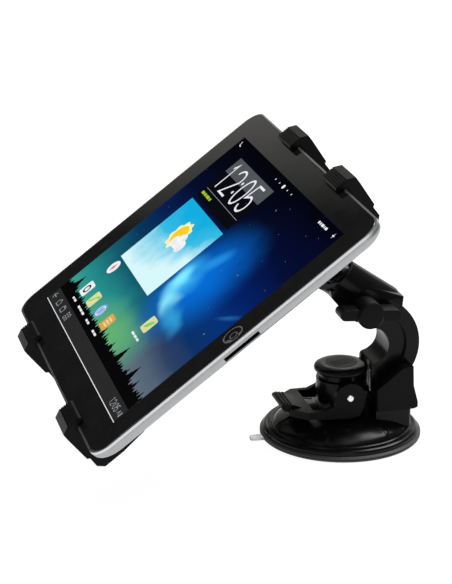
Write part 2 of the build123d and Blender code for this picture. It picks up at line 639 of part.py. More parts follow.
def power_button():
    """On the short edge opposite the home button."""
    body = block(-TABLET_U / 2 - 0.35, -TABLET_U / 2 + 4.4, 55.0, 65.0, -4.85, -3.05)
    return fillet(body.edges().filter_by(Axis.X), 0.8)


def volume_rocker():
    """On the upper long edge."""
    body = block(-95.0, -76.0, TABLET_V / 2 - 4.4, TABLET_V / 2 + 0.35, -4.85, -3.05)
    return fillet(body.edges().filter_by(Axis.Y), 0.8)


def speaker():
    return between(Pos(TABLET_U / 2 - 12, -60) * RectangleRounded(13, 28, 3), -6.5, -4.2)


# ---------------------------------------------------------------- write the parts
arm = arm_details(arm_body())

parts["suction_pad"] = suction_pad()
parts["pull_tab"] = pull_tab()
parts["base_housing"] = base_housing()
parts["suction_stem"] = suction_stem()
parts["stem_spring"] = stem_spring()
parts["lever"] = lever()
parts["lever_pin"] = lever_pin()
parts["lever_cam"] = lever_cam()
parts["top_knob"] = knob()
parts["knob_inlay"] = knob_inlay()
parts["arm_bracket"] = bracket()
parts["bracket_screws"] = bracket_screws()
parts["arm_half_near"] = half(arm, +1)
parts["arm_half_far"] = half(arm, -1)
parts["arm_screws"] = arm_screws()
parts["pivot_bolt"] = pivot_bolt()
parts["pivot_nut"] = pivot_nut()
parts["pivot_washers"] = pivot_washers()
parts["wing_knob"] = wing_knob()
parts["wing_bolt"] = wing_bolt()
parts["clamp_nut"] = clamp_nut()
parts["ball_liner"] = ball_liner()
parts["ball_stud"] = ball_stud()
parts["stud_washer"] = stud_washer()
parts["stud_nut"] = stud_nut()

on_tablet = {
    "holder_back": holder_back(),
    "holder_front": holder_front(),
    "holder_screws": holder_screws(),
    "back_pads": back_pads(),
    "upper_claw_near": upper_claw(UPPER_CLAW_U),
    "upper_claw_far": upper_claw(-UPPER_CLAW_U),
    "upper_claw_pads": claw_pads(UPPER_CLAW_U, +1),
    "lower_jaw": lower_jaw(),
    "lower_claw_near": lower_claw(LOWER_CLAW_U),
    "lower_claw_far": lower_claw(-LOWER_CLAW_U),
    "lower_claw_pads": claw_pads(LOWER_CLAW_U, -1),
    "release_button": release_button(),
    "release_spring": release_spring(),
    "rear_shell": rear_shell(),
    "bezel_ring": bezel_ring(),
    "front_glass": front_glass(),
    "lcd_panel": lcd_panel(),
    "battery": battery(),
    "mainboard": mainboard(),
    "dock_connector": dock_connector(),
    "home_button": home_button(),
    "power_button": power_button(),
    "volume_rocker": volume_rocker(),
    "speaker": speaker(),
}
for name, shape in on_tablet.items():
    parts[name] = tablet_plane * shape

os.makedirs("parts", exist_ok=True)
for name, shape in parts.items():
    export_step(shape, "parts/" + name + ".step")
    print(name, round(shape.volume, 1))
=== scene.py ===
"""Portable GPS navigator: a screen unit in a four-claw holder on a suction mount."""
import json
import math

import bmesh
import bpy
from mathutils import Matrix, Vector


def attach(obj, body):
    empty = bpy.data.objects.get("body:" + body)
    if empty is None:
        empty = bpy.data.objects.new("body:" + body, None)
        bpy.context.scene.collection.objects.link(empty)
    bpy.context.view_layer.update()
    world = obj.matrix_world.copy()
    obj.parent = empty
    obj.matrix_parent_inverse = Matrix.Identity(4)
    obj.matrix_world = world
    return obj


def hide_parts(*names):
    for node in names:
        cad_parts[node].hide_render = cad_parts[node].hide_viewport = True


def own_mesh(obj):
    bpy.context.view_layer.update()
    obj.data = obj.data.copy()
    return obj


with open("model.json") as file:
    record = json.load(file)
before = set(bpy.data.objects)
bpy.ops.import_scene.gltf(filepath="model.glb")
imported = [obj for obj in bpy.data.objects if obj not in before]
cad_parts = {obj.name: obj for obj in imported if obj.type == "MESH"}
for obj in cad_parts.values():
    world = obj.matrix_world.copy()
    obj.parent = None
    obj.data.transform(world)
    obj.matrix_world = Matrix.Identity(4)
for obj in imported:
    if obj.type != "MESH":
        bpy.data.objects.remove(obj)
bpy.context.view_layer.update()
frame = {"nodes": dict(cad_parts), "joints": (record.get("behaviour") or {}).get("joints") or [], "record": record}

MM = 0.001
EDGE_ANGLE = math.radians(32)      # edges that turn more than this stay crisp


# ---------------------------------------------------------------- camera
FOCAL_MM = 130.96
SENSOR_MM = 36.0
NEAREST_M, FARTHEST_M = 0.05, 50.0
CAMERA_AT = Vector((1.1013, -0.3471, 0.4807))
CAMERA_AZIMUTH = math.radians(75.82)
CAMERA_DROP = math.radians(18.89)


def make_camera():
    data = bpy.data.cameras.new("camera")
    data.lens = FOCAL_MM
    data.sensor_width = SENSOR_MM
    data.clip_start = NEAREST_M
    data.clip_end = FARTHEST_M
    camera = bpy.data.objects.new("camera", data)
    bpy.context.scene.collection.objects.link(camera)
    flat = math.cos(CAMERA_DROP)
    forward = Vector((
        -math.sin(CAMERA_AZIMUTH) * flat,
        math.cos(CAMERA_AZIMUTH) * flat,
        -math.sin(CAMERA_DROP),
    ))
    camera.location = CAMERA_AT
    camera.rotation_euler = forward.to_track_quat("-Z", "Y").to_euler()
    bpy.context.scene.camera = camera


make_camera()


# ---------------------------------------------------------------- places from the frame
def joint_axis(name):
    return Vector(next(j for j in frame["joints"] if j["name"] == name)["axis"])


X_AXIS, Y_AXIS, Z_AXIS = Vector((1, 0, 0)), Vector((0, 1, 0)), Vector((0, 0, 1))
U = X_AXIS                         # along the screen
V = -joint_axis("jaw_slide")       # up the slope of the screen
W = -joint_axis("home_press")      # out of the glass


def extent(node, axis):
    """The lowest and highest place of a node along an axis."""
    values = [v.co @ axis for v in frame["nodes"][node].data.vertices]
    return min(values), max(values)


def middle(node, axis):
    low, high = extent(node, axis)
    return (low + high) / 2


GLASS_TOP = extent("front_glass", W)[1]
GLASS = U * middle("front_glass", U) + V * middle("front_glass", V) + W * GLASS_TOP


def on_screen(u, v, w=0.0):
    """A point of the screen's own frame, given in millimetres."""
    return GLASS + (U * u + V * v + W * w) * MM


# ---------------------------------------------------------------- material helpers
class Shader:
    """A node tree with a Principled shader and short ways to add nodes to it."""

    def __init__(self, name):
        self.material = bpy.data.materials.new(name)
        self.material.use_nodes = True
        self.tree = self.material.node_tree
        self.bsdf = self.tree.nodes["Principled BSDF"]
        self.coord = self.tree.nodes.new("ShaderNodeTexCoord").outputs["Object"]

    def node(self, kind, **settings):
        made = self.tree.nodes.new("ShaderNode" + kind)
        for key, value in settings.items():
            setattr(made, key, value)
        return made

    def link(self, source, target):
        self.tree.links.new(source, target)

    def value(self, socket, given):
        if isinstance(given, bpy.types.NodeSocket):
            self.link(given, socket)
        else:
            socket.default_value = given

    def math(self, operation, a, b=0.0, c=0.0):
        made = self.node("Math", operation=operation)
        for socket, given in zip(made.inputs, (a, b, c)):
            self.value(socket, given)
        return made.outputs[0]

    def noise(self, scale, detail=3.0, rough=0.55):
        made = self.node("TexNoise")
        made.inputs["Scale"].default_value = scale
        made.inputs["Detail"].default_value = detail
        made.inputs["Roughness"].default_value = rough
        self.link(self.coord, made.inputs["Vector"])
        return made.outputs["Fac"]

    def spread(self, source, low, high, start=0.3, end=0.7):
        """Low to high as the source goes from start to end; held level outside."""
        made = self.node("MapRange")
        for socket, given in zip(made.inputs, (source, start, end, low, high)):
            self.value(socket, given)
        return made.outputs["Result"]

    def colour(self, socket, given):
        """Give a colour socket three plain numbers or another socket."""
        self.value(socket, (*given, 1.0) if isinstance(given, tuple) else given)

    def mix(self, factor, a, b):
        made = self.node("Mix", data_type="RGBA")
        self.value(made.inputs["Factor"], factor)
        self.colour(made.inputs["A"], a)
        self.colour(made.inputs["B"], b)
        return made.outputs["Result"]

    def bump(self, *layers):
        """Dent the surface; each layer is (height, strength, distance in metres)."""
        normal = None
        for height, strength, distance in layers:
            made = self.node("Bump")
            made.inputs["Strength"].default_value = strength
            made.inputs["Distance"].default_value = distance
            self.link(height, made.inputs["Height"])
            if normal:
                self.link(normal, made.inputs["Normal"])
            normal = made.outputs["Normal"]
        self.link(normal, self.bsdf.inputs["Normal"])

    def base(self, given):
        self.colour(self.bsdf.inputs["Base Color"], given)

    def shine(self, given):
        self.colour(self.bsdf.inputs["Emission Color"], given)

    def set(self, **values):
        names = {"metallic": "Metallic", "specular": "Specular IOR Level", "roughness": "Roughness",
                 "transmission": "Transmission Weight", "emission": "Emission Strength"}
        for key, value in values.items():
            self.bsdf.inputs[names[key]].default_value = value


def scaled(colour, factor):
    return tuple(min(1.0, c * factor) for c in colour)


# How many times a pattern repeats in a metre, and how deep in metres it dents the surface.
FINE_GRAIN, FOAM_GRAIN, METAL_GRAIN = 2600.0, 900.0, 1500.0
CLOUD, METAL_CLOUD, SMUDGE, SLOW_WAVE = 90.0, 60.0, 45.0, 70.0
WAVE_DEPTH, GRAIN_DEPTH, BLAST_DEPTH = 0.001, 0.0002, 0.0001


def moulded(name, colour, rough, grain=0.0, grain_scale=FINE_GRAIN, wave=0.0, **settings):
    """Moulded plastic or rubber: uneven colour and gloss, a fine grain and a slow waviness."""
    shader = Shader(name)
    cloud = shader.noise(CLOUD, 4.0)
    patchy = shader.spread(cloud, 0.0, 1.0)
    shader.base(shader.mix(patchy, scaled(colour, 0.78), scaled(colour, 1.28)))
    smudge = shader.noise(SMUDGE, 6.0, 0.65)
    shader.link(shader.spread(smudge, rough[0], rough[1]), shader.bsdf.inputs["Roughness"])
    layers = []
    if wave:
        layers.append((shader.noise(SLOW_WAVE, 1.0), wave, WAVE_DEPTH))
    if grain:
        layers.append((shader.noise(grain_scale, 2.0, 0.5), grain, GRAIN_DEPTH))
    if layers:
        shader.bump(*layers)
    shader.set(**settings)
    return shader.material


def metal(name, colour, rough, blast=0.0):
    """Bare metal with a fine grain, which also dents the surface where it is blasted."""
    shader = Shader(name)
    grain = shader.noise(METAL_GRAIN, 3.0, 0.6)
    cloud = shader.noise(METAL_CLOUD, 4.0)
    shader.base(shader.mix(shader.spread(cloud, 0.0, 1.0), scaled(colour, 0.92), colour))
    shader.link(shader.spread(grain, rough[0], rough[1]), shader.bsdf.inputs["Roughness"])
    if blast:
        shader.bump((grain, blast, BLAST_DEPTH))
    shader.set(metallic=1.0)
    return shader.material


BLACK = (0.0030, 0.0030, 0.0034)
SATIN = (0.0028, 0.0028, 0.0028)
MATERIALS = {
    "gloss_black": moulded("gloss_black", BLACK, (0.18, 0.30), wave=0.05, specular=0.14),
    "satin_black": moulded("satin_black", SATIN, (0.36, 0.50), grain=0.16, specular=0.10),
    "grip_rubber": moulded(
        "grip_rubber", (0.007, 0.007, 0.007), (0.6, 0.75), grain=0.3, specular=0.2),
    "pad_rubber": moulded("pad_rubber", (0.03, 0.03, 0.031), (0.38, 0.55), grain=0.08, wave=0.05),
    "clear_tab": moulded("clear_tab", (0.80, 0.82, 0.84), (0.2, 0.35), wave=0.1, transmission=0.8),
    "screw_steel": metal("screw_steel", (0.5, 0.5, 0.51), (0.28, 0.42), blast=0.1),
    "pin_steel": metal("pin_steel", (0.82, 0.82, 0.83), (0.12, 0.22), blast=0.03),
    "spring_steel": metal("spring_steel", (0.55, 0.55, 0.56), (0.22, 0.34)),
    "liner_nylon": moulded("liner_nylon", (0.05, 0.05, 0.052), (0.4, 0.55), grain=0.1),
    "case_silver": metal("case_silver", (0.42, 0.425, 0.435), (0.34, 0.44), blast=0.12),
    "trim_chrome": metal("trim_chrome", (0.66, 0.665, 0.675), (0.30, 0.40)),
    "screen_glass": moulded("screen_glass", (0.006, 0.006, 0.0063), (0.03, 0.05), specular=0.5),
    "battery_foil": metal("battery_foil", (0.5, 0.5, 0.5), (0.45, 0.6)),
    "board_green": moulded("board_green", (0.02, 0.12, 0.05), (0.35, 0.5)),
    "foam": moulded("foam", (0.02, 0.02, 0.021), (0.85, 0.95), grain=0.6, grain_scale=FOAM_GRAIN),
    "dark_gasket": moulded("dark_gasket", (0.012, 0.012, 0.012), (0.5, 0.6)),
    "ring_print": moulded("ring_print", (0.12, 0.12, 0.115), (0.3, 0.4)),
    "socket_black": moulded(
        "socket_black", (0.004, 0.004, 0.004), (0.4, 0.55), grain=0.1, specular=0.15),
}


# ---------------------------------------------------------------- mesh helpers
def finish_mesh(name, mesh, material, body):
    """Make an object of the mesh, shade it and let it ride on its body."""
    piece = bpy.data.objects.new(name, mesh)
    bpy.context.scene.collection.objects.link(piece)
    mesh.materials.clear()
    mesh.materials.append(material)
    mesh.shade_smooth()
    mesh.set_sharp_from_angle(angle=EDGE_ANGLE)
    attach(piece, body)
    return piece


def add_bevel(piece, width):
    """Round the edges by a width in millimetres."""
    bevel = piece.modifiers.new("edge_round", "BEVEL")
    bevel.width = width * MM
    bevel.segments = 3
    bevel.limit_method = "ANGLE"
    bevel.angle_limit = EDGE_ANGLE
    bevel.use_clamp_overlap = True
    bevel.harden_normals = False
    bevel.miter_outer = "MITER_ARC"


WELD_M = 0.000004                  # points closer than this are one point
FLAT_ANGLE = math.radians(0.5)     # faces that turn less than this are one face


def softened(node, body, slot, width):
    """The CAD node's shape with clean faces and rounded moulded edges, standing for the node."""
    bm = bmesh.new()
    bm.from_mesh(frame["nodes"][node].data)
    bmesh.ops.remove_doubles(bm, verts=bm.verts, dist=WELD_M)
    bmesh.ops.dissolve_limit(
        bm, angle_limit=FLAT_ANGLE, verts=bm.verts, edges=bm.edges,
        use_dissolve_boundaries=False)
    mesh = bpy.data.meshes.new(node + "_body")
    bm.to_mesh(mesh)
    bm.free()
    piece = finish_mesh(node + "_body", mesh, MATERIALS[slot], body)
    add_bevel(piece, width)
    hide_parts(node)
    return piece


# ---------------------------------------------------------------- looks of every CAD node
BODIES = frame["record"]["behaviour"]["bodies"]
NODE_BODY = {node: body for body, members in BODIES.items() for node in members}
NODE_SLOT = {s["node"]: s["material_slot"] for s in frame["record"]["subparts"]}

ROUNDED = {                        # width of the rounded edges in millimetres
    "base_housing": 0.3, "lever": 0.45, "arm_bracket": 0.6,
    "arm_half_near": 0.5, "arm_half_far": 0.5, "wing_knob": 0.7, "top_knob": 0.3,
    "ball_stud": 0.3, "holder_back": 0.5, "holder_front": 0.5,
    "upper_claw_near": 0.6, "upper_claw_far": 0.6,
    "lower_claw_near": 0.6, "lower_claw_far": 0.6,
    "lower_jaw": 0.5, "release_button": 0.4,
}
for node, shape in frame["nodes"].items():
    slot_name = NODE_SLOT[node]
    if node == "dock_connector":       # the photo shows the socket dark
        slot_name = "socket_black"
    shape.data.materials.clear()
    shape.data.materials.append(MATERIALS.get(slot_name, MATERIALS["satin_black"]))
    shape.data.shade_smooth()
    shape.data.set_sharp_from_angle(angle=EDGE_ANGLE)
for node, width in ROUNDED.items():
    softened(node, NODE_BODY[node], NODE_SLOT[node], width)


def button_spring():
    """The release button's spring; it rides whole on the button, so it does not shorten as the button goes in."""
    mesh = frame["nodes"]["release_spring"].data.copy()
    piece = finish_mesh("release_spring_body", mesh, MATERIALS["spring_steel"], "release_button")
    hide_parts("release_spring")
    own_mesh(piece)


button_spring()


# ---------------------------------------------------------------- screen picture
MITRE_LIMIT = 0.45                 # keeps the corner of a sharp turn short


class Flat:
    """Thin closed shapes drawn in screen millimetres (u, v), gathered into one mesh."""

    def __init__(self):
        self.points, self.faces = [], []

    def strip(self, left, right, closed=False):
        """A band between two rows of points."""
        start, n = len(self.points), len(left)
        for level in (0, 1):
            self.points += [(a, b, level) for a, b in left] + [(a, b, level) for a, b in right]

        def at(side, i, level):
            return start + 2 * n * level + n * side + i % n

        for i in range(n if closed else n - 1):
            j = i + 1
            self.faces += [
                (at(0, i, 1), at(1, i, 1), at(1, j, 1), at(0, j, 1)),
                (at(0, j, 0), at(1, j, 0), at(1, i, 0), at(0, i, 0)),
                (at(0, i, 0), at(0, i, 1), at(0, j, 1), at(0, j, 0)),
                (at(1, j, 0), at(1, j, 1), at(1, i, 1), at(1, i, 0)),
            ]
        if not closed:
            for i in (0, n - 1):
                self.faces.append((at(0, i, 0), at(1, i, 0), at(1, i, 1), at(0, i, 1)))

    def box(self, left, right, top, foot):
        self.strip([(left, top), (right, top)], [(left, foot), (right, foot)])

    def patch(self, outline):
        """A filled outline that its middle can see all of."""
        start, n = len(self.points), len(outline)
        middle_u = sum(p[0] for p in outline) / n
        middle_v = sum(p[1] for p in outline) / n
        for level in (0, 1):
            self.points += [(a, b, level) for a, b in outline] + [(middle_u, middle_v, level)]
        for i in range(n):
            j = (i + 1) % n
            self.faces += [
                (start + i, start + j, start + n),
                (start + n + 1 + j, start + n + 1 + i, start + 2 * n + 1),
                (start + i, start + j, start + n + 1 + j, start + n + 1 + i),
            ]

    def stroke(self, path, width, closed=False):
        """A line of even width with mitred corners."""
        left, right, n = [], [], len(path)
        for i, (a, b) in enumerate(path):
            before = path[(i - 1) % n] if closed or i else path[0]
            after = path[(i + 1) % n] if closed or i < n - 1 else path[-1]
            first = Vector((a - before[0], b - before[1]))
            second = Vector((after[0] - a, after[1] - b))
            first = first.normalized() if first.length else second.normalized()
            second = second.normalized() if second.length else first
            along = (first + second).normalized()
            reach = width / 2 / max(MITRE_LIMIT, along.dot(first))
            left.append((a - along.y * reach, b + along.x * reach))
            right.append((a + along.y * reach, b - along.x * reach))
        self.strip(left, right, closed)

    def build(self, name, low, high, material):
        """One closed piece between two heights over the glass, in millimetres."""
        mesh = bpy.data.meshes.new(name)
        levels = (low, high)
        mesh.from_pydata([on_screen(a, b, levels[k]) for a, b, k in self.points], [], self.faces)
        bm = bmesh.new()
        bm.from_mesh(mesh)
        bmesh.ops.recalc_face_normals(bm, faces=bm.faces)
        bm.to_mesh(mesh)
        bm.free()
        piece = finish_mesh(name, mesh, material, "tablet")
        return piece


def arc(cu, cv, ru, rv, start, end, steps=16):
    angles = [math.radians(start + (end - start) * i / steps) for i in range(steps + 1)]
    return [(cu + ru * math.cos(a), cv + rv * math.sin(a)) for a in angles]


def ring_path(cu, cv, ru, rv, steps=28):
    return arc(cu, cv, ru, rv, 0, 360, steps)[:-1]


def star_path(cu, cv, size, waist):
    """Four points, with a narrow waist between them."""
    path = []
    for k in range(8):
        angle = k * math.pi / 4
        reach = size * (1 if k % 2 == 0 else waist)
        path.append((cu + reach * math.cos(angle), cv + reach * math.sin(angle)))
    return path


def rounded_box(cu, cv, half_u, half_v, radius, steps=6):
    path = []
    for su, sv, start in ((1, 1, 0), (-1, 1, 90), (-1, -1, 180), (1, -1, 270)):
        path += arc(cu + su * (half_u - radius), cv + sv * (half_v - radius), radius, radius,
                    start, start + 90, steps)
    return path


def lit(name, ground, roughness):
    """A surface that gives light and has no shine of its own."""
    shader = Shader(name)
    shader.base(ground)
    shader.set(roughness=roughness, specular=0.0, emission=1.0)
    return shader


def glow(name, colour):
    """Almost even light of one part of the picture."""
    shader = lit(name, (0.002, 0.002, 0.002), 0.6)
    uneven = shader.spread(shader.noise(260.0), 0.0, 1.0)
    shader.shine(shader.mix(uneven, scaled(colour, 0.9), scaled(colour, 1.1)))
    return shader.material


def screen_axis(shader, axis):
    """Distance along one screen axis from the middle of the glass, in millimetres."""
    dot = shader.node("VectorMath", operation="DOT_PRODUCT")
    shader.link(shader.coord, dot.inputs[0])
    dot.inputs[1].default_value = axis
    return shader.math("MULTIPLY_ADD", dot.outputs["Value"], 1000.0, -1000.0 * (GLASS @ axis))


def blob(shader, u, v, centre, size, tilt=0.0):
    """A soft round or long spot: 1 at its centre and 0 outside its size."""
    c, s = math.cos(math.radians(tilt)), math.sin(math.radians(tilt))
    du = shader.math("SUBTRACT", u, centre[0])
    dv = shader.math("SUBTRACT", v, centre[1])

    def turned(operation, near, far, reach):
        return shader.math(operation, shader.math("MULTIPLY", near, c / reach),
                           shader.math("MULTIPLY", far, s / reach))

    def square(value):
        return shader.math("MULTIPLY", value, value)

    along = turned("ADD", du, dv, size[0])
    across = turned("SUBTRACT", dv, du, size[1])
    away = shader.math("ADD", square(along), square(across))
    return square(shader.math("MAXIMUM", shader.math("SUBTRACT", 1.0, away), 0.0))


def ramp(shader, source, low, high, stops):
    """Colours along a value; each stop is (value, colour), in rising order."""
    made = shader.node("ValToRGB")
    shader.link(shader.spread(source, 0.0, 1.0, low, high), made.inputs["Fac"])
    elements = made.color_ramp.elements
    while len(elements) < len(stops):
        elements.new(0.5)
    for element, (place, colour) in zip(elements, stops):
        element.position = (place - low) / (high - low)
        element.color = (*colour, 1.0)
    return made.outputs["Color"]


# The edges of the lit picture and of its parts, in screen millimetres.
LEFT, RIGHT, TOP, FOOT = -100.4, 102.0, 77.0, -66.6
BAR_TOP, BAR_FOOT = -66.62, -76.1
CLOCK_LEFT, CLOCK_RIGHT = -76.6, -3.4
ICON_ROW, ICON_HALF = -52.6, 5.2

# Colours of the sky up the left side and up the right side; each is (height, colour).
SKY_LOW, SKY_HIGH = -66.0, 78.0
FAR_SKY = (
    (-62, (0.050, 0.36, 0.27)), (-46, (0.018, 0.27, 0.26)),
    (-26, (0.006, 0.105, 0.150)), (-6, (0.0015, 0.036, 0.107)),
    (14, (0.001, 0.013, 0.080)), (34, (0.0006, 0.0035, 0.026)),
    (54, (0.0006, 0.0014, 0.007)), (74, (0.0004, 0.0004, 0.002)),
)
NEAR_SKY = (
    (-62, (0.13, 0.17, 0.20)), (-46, (0.080, 0.125, 0.175)),
    (-34, (0.028, 0.053, 0.125)), (-20, (0.003, 0.030, 0.135)),
    (-4, (0.001, 0.031, 0.19)), (14, (0.0006, 0.013, 0.13)),
    (40, (0.0004, 0.0035, 0.034)), (74, (0.0003, 0.0004, 0.0035)),
)
SKY_SPOTS = (                      # centre, size, tilt in degrees, colour
    ((4, -56), (62, 25), 3, (0.120, 0.44, 0.17)),
    ((30, 2), (52, 52), -30, (0.001, 0.150, 0.66)),
    ((14, -2), (24, 18), -40, (0.05, 0.52, 0.98)),
    ((10, -3), (13, 12), -50, (0.24, 0.86, 1.0)),
    ((25, -16), (19, 10), -25, (0.26, 0.84, 1.0)),
    ((44, -21), (27, 9), -17, (0.03, 0.33, 0.66)),
    ((21, 14), (9, 20), -28, (0.015, 0.28, 0.76)),
    ((90, 1), (15, 2.6), 26, (0.012, 0.10, 0.36)),
)


def night_sky():
    """A plain night sky: black above, blue below it, green low down and spots of blue light."""
    shader = lit("night_sky", (0.001, 0.001, 0.002), 0.5)
    u, v = screen_axis(shader, U), screen_axis(shader, V)
    waver = shader.math("MULTIPLY", shader.math("SUBTRACT", shader.noise(30.0, 2.0), 0.5), 15.0)
    vw = shader.math("ADD", v, waver)
    uw = shader.math("ADD", u, waver)

    far = ramp(shader, vw, SKY_LOW, SKY_HIGH, FAR_SKY)
    near = ramp(shader, vw, SKY_LOW, SKY_HIGH, NEAR_SKY)
    colour = shader.mix(shader.spread(u, 0.0, 1.0, -10.0, 62.0), far, near)
    for centre, size, tilt, tint in SKY_SPOTS:
        colour = shader.mix(blob(shader, uw, vw, centre, size, tilt), colour, tint)
    shader.shine(colour)
    return shader.material


def day_sky():
    """The picture of the weather card: light blue with white cloud low down."""
    shader = lit("day_sky", (0.002, 0.002, 0.002), 0.5)
    u, v = screen_axis(shader, U), screen_axis(shader, V)
    puff = shader.math("MULTIPLY", shader.math("SUBTRACT", shader.noise(42.0, 5.0, 0.6), 0.5), 34.0)
    height = shader.math("ADD", v, puff)
    height = shader.math("ADD", height, shader.math("MULTIPLY", u, -0.06))
    right_of_cloud = shader.math("MAXIMUM", shader.math("ADD", u, 34.0), 0.0)
    height = shader.math("ADD", height, shader.math("MULTIPLY", right_of_cloud, -0.55))
    blueness = shader.spread(height, 0.0, 1.0, -20.0, 26.0)
    cloudiness = shader.spread(height, 0.95, 0.0, -16.0, 9.0)
    colour = shader.mix(blueness, (0.10, 0.66, 0.84), (0.005, 0.42, 0.74))
    colour = shader.mix(cloudiness, colour, (0.72, 0.95, 0.97))
    shader.shine(colour)
    return shader.material


WHITE_LIGHT = glow("mark_white", (0.85, 0.87, 0.9))
GREY_LIGHT = glow("mark_grey", (0.30, 0.31, 0.32))
STAR_LIGHT = glow("star_blue", (0.26, 0.33, 0.45))
BLACK_LIGHT = glow("mark_black", (0.0006, 0.0006, 0.0010))
BAR_LIGHT = glow("bar_grey", (0.021, 0.021, 0.022))
CARD_LIGHT = glow("card_black", (0.0012, 0.0012, 0.004))
BAND_LIGHT = glow("card_band", (0.085, 0.09, 0.10))
GREEN_LIGHT = glow("mark_green", (0.36, 0.55, 0.03))
SUN_LIGHT = glow("sun", (0.95, 0.62, 0.02))
HALO_LIGHT = glow("sun_halo", (0.93, 0.88, 0.45))
CLOUD_LIGHT = glow("cloud", (0.86, 0.88, 0.9))
BLUE_LIGHT = glow("icon_blue", (0.16, 0.34, 0.75))
RED_LIGHT = glow("icon_red", (0.62, 0.10, 0.06))
ORANGE_LIGHT = glow("icon_orange", (0.80, 0.36, 0.08))
LEAF_LIGHT = glow("icon_leaf", (0.25, 0.62, 0.10))
YELLOW_LIGHT = glow("icon_cream", (0.72, 0.72, 0.36))


LAYER_LOW, LAYER_HIGH, LAYER_STEP = 0.004, 0.022, 0.02


def show(name, level, material, draw):
    """One layer of the picture; level 0 is the lowest."""
    shapes = Flat()
    draw(shapes)
    shapes.build(name, LAYER_LOW + LAYER_STEP * level, LAYER_HIGH + LAYER_STEP * level, material)


def draw_sky(shapes):
    columns = [LEFT + (RIGHT - LEFT) * i / 12 for i in range(13)]
    shapes.strip([(a, TOP) for a in columns], [(a, FOOT) for a in columns])


TREE_TOPS = (                      # place along the screen and height
    (-93, 9), (-87.5, 17.5), (-82, 11), (-76, 7.5), (-66, 8), (-57, 7), (-38, 8.5), (-21, 7),
    (-8, 9), (-2.5, 13), (5, 12), (12, 8), (21, 12.5), (29, 8), (39.5, 18), (46, 10), (55, 8),
    (62, 12), (69, 17.5), (74, 10), (82, 13), (90, 9), (97, 12),
)
TREE_STEP, TREE_SLOPE, TREE_TIER = 0.46, 2.5, 0.75
UNDERGROWTH, LAST_TREE_TOP = 8.4, -57.0
STARS = (
    (20, 60), (56, 21), (88, -12), (-90, 15), (-52, -32.5), (82, 45), (37, 16), (-99, 47),
    (73, 62), (31, 66), (94, 27), (48, 52), (66, -2), (-88, -10), (12, 44), (86, 66),
    (62, 36), (-16, 50.5),
)
BRIGHT_STARS = 3                   # how many of the stars, from the first, are bright
BRIGHT_STAR, FAINT_STAR, STAR_WAIST = 0.7, 0.32, 0.42


def draw_trees(shapes):
    """A spruce wood: pointed tops with drooping tiers, on an uneven line of undergrowth."""
    row = []
    a = LEFT
    while a < RIGHT:
        height = UNDERGROWTH + 1.1 * math.sin(a * 1.7) + 0.8 * math.sin(a * 0.61 + 2)
        for at, top in TREE_TOPS:
            away = abs(a - at)
            tier = TREE_TIER * math.sin(5.5 * away)
            height = max(height, top - TREE_SLOPE * away + tier if away > 0.3 else top)
        row.append((a, FOOT + height))
        a += TREE_STEP
    row.append((RIGHT, LAST_TREE_TOP))
    shapes.strip(row, [(a, FOOT) for a, _ in row])


def draw_stars(shapes):
    for i, (a, b) in enumerate(STARS):
        size = BRIGHT_STAR if i < BRIGHT_STARS else FAINT_STAR
        shapes.patch(star_path(a, b, size, STAR_WAIST))


def digit_paths(kind, left, foot, wide, tall):
    """Strokes of one clock figure, 0, 1, 2 or 5, each open or closed."""
    mid, top, half = left + wide / 2, foot + tall, wide / 2
    if kind == "0":
        return [(ring_path(mid, foot + tall / 2, half, tall / 2), True)]
    if kind == "1":
        return [([(mid - half * 0.55, top - tall * 0.2), (mid, top), (mid, foot)], False)]
    if kind == "2":
        bow = arc(mid, top - half, half, half, 165, -25, 14)
        return [(bow + [(left, foot), (left + wide, foot)], False)]
    bow = arc(mid, foot + half, half, half * 1.05, 128, -160, 16)
    flag = [(left + wide * 0.95, top), (left + wide * 0.12, top), (left, foot + half * 1.6)]
    return [(flag + bow[2:], False)]


def write_time(shapes, left, foot, wide, tall, gap, line):
    """The clock reading 12:05, with its first figure at the left and foot given."""
    at = left
    for kind in "12:05":
        if kind == ":":
            for level in (0.28, 0.68):
                dot = line * 0.75
                shapes.patch(ring_path(at + line * 0.5, foot + tall * level, dot, dot, 12))
            at += line + gap
            continue
        for path, closed in digit_paths(kind, at, foot, wide, tall):
            shapes.stroke(path, line, closed)
        at += wide + gap


def dashes(shapes, left, v, lengths, tall=1.4, gap=0.9):
    """A row of short bars that stands for a line of words."""
    at = left
    for length in lengths:
        shapes.patch(rounded_box(at + length / 2, v, length / 2, tall / 2, tall * 0.3, 3))
        at += length + gap


def draw_white_marks(shapes):
    """The clock, the page dots, the status marks, the labels and the line under the bar."""
    write_time(shapes, left=-73.2, foot=43.6, wide=11.2, tall=19.4, gap=3.6, line=1.5)
    for a, size in ((-16, 0.55), (-8, 0.55), (0, 1.5), (8, 0.55), (16, 0.55)):
        shapes.patch(ring_path(a, 72.3, size, size, 14))
    dashes(shapes, 69.0, 72.4, (2.2, 1.6, 3.4, 1.2, 3.0), 1.7)
    shapes.patch(star_path(95.4, 72.4, 1.8, 0.34))
    shapes.stroke([(-96.0, 74.2), (-95.0, 71.6), (-92.4, 71.0)], 0.7)
    for left, v, lengths in (
        (-74.4, -62.4, (3.0, 4.4)), (-57.8, -62.4, (4.4, 5.0, 4.8)), (-33.6, -62.4, (3.4, 3.8)),
        (-14.6, -62.4, (4.0, 4.6)), (24.0, -43.4, (5.2, 4.0, 4.6)),
    ):
        dashes(shapes, left, v, lengths)
    shapes.box(-101.2, 102.6, -76.2, -76.65)


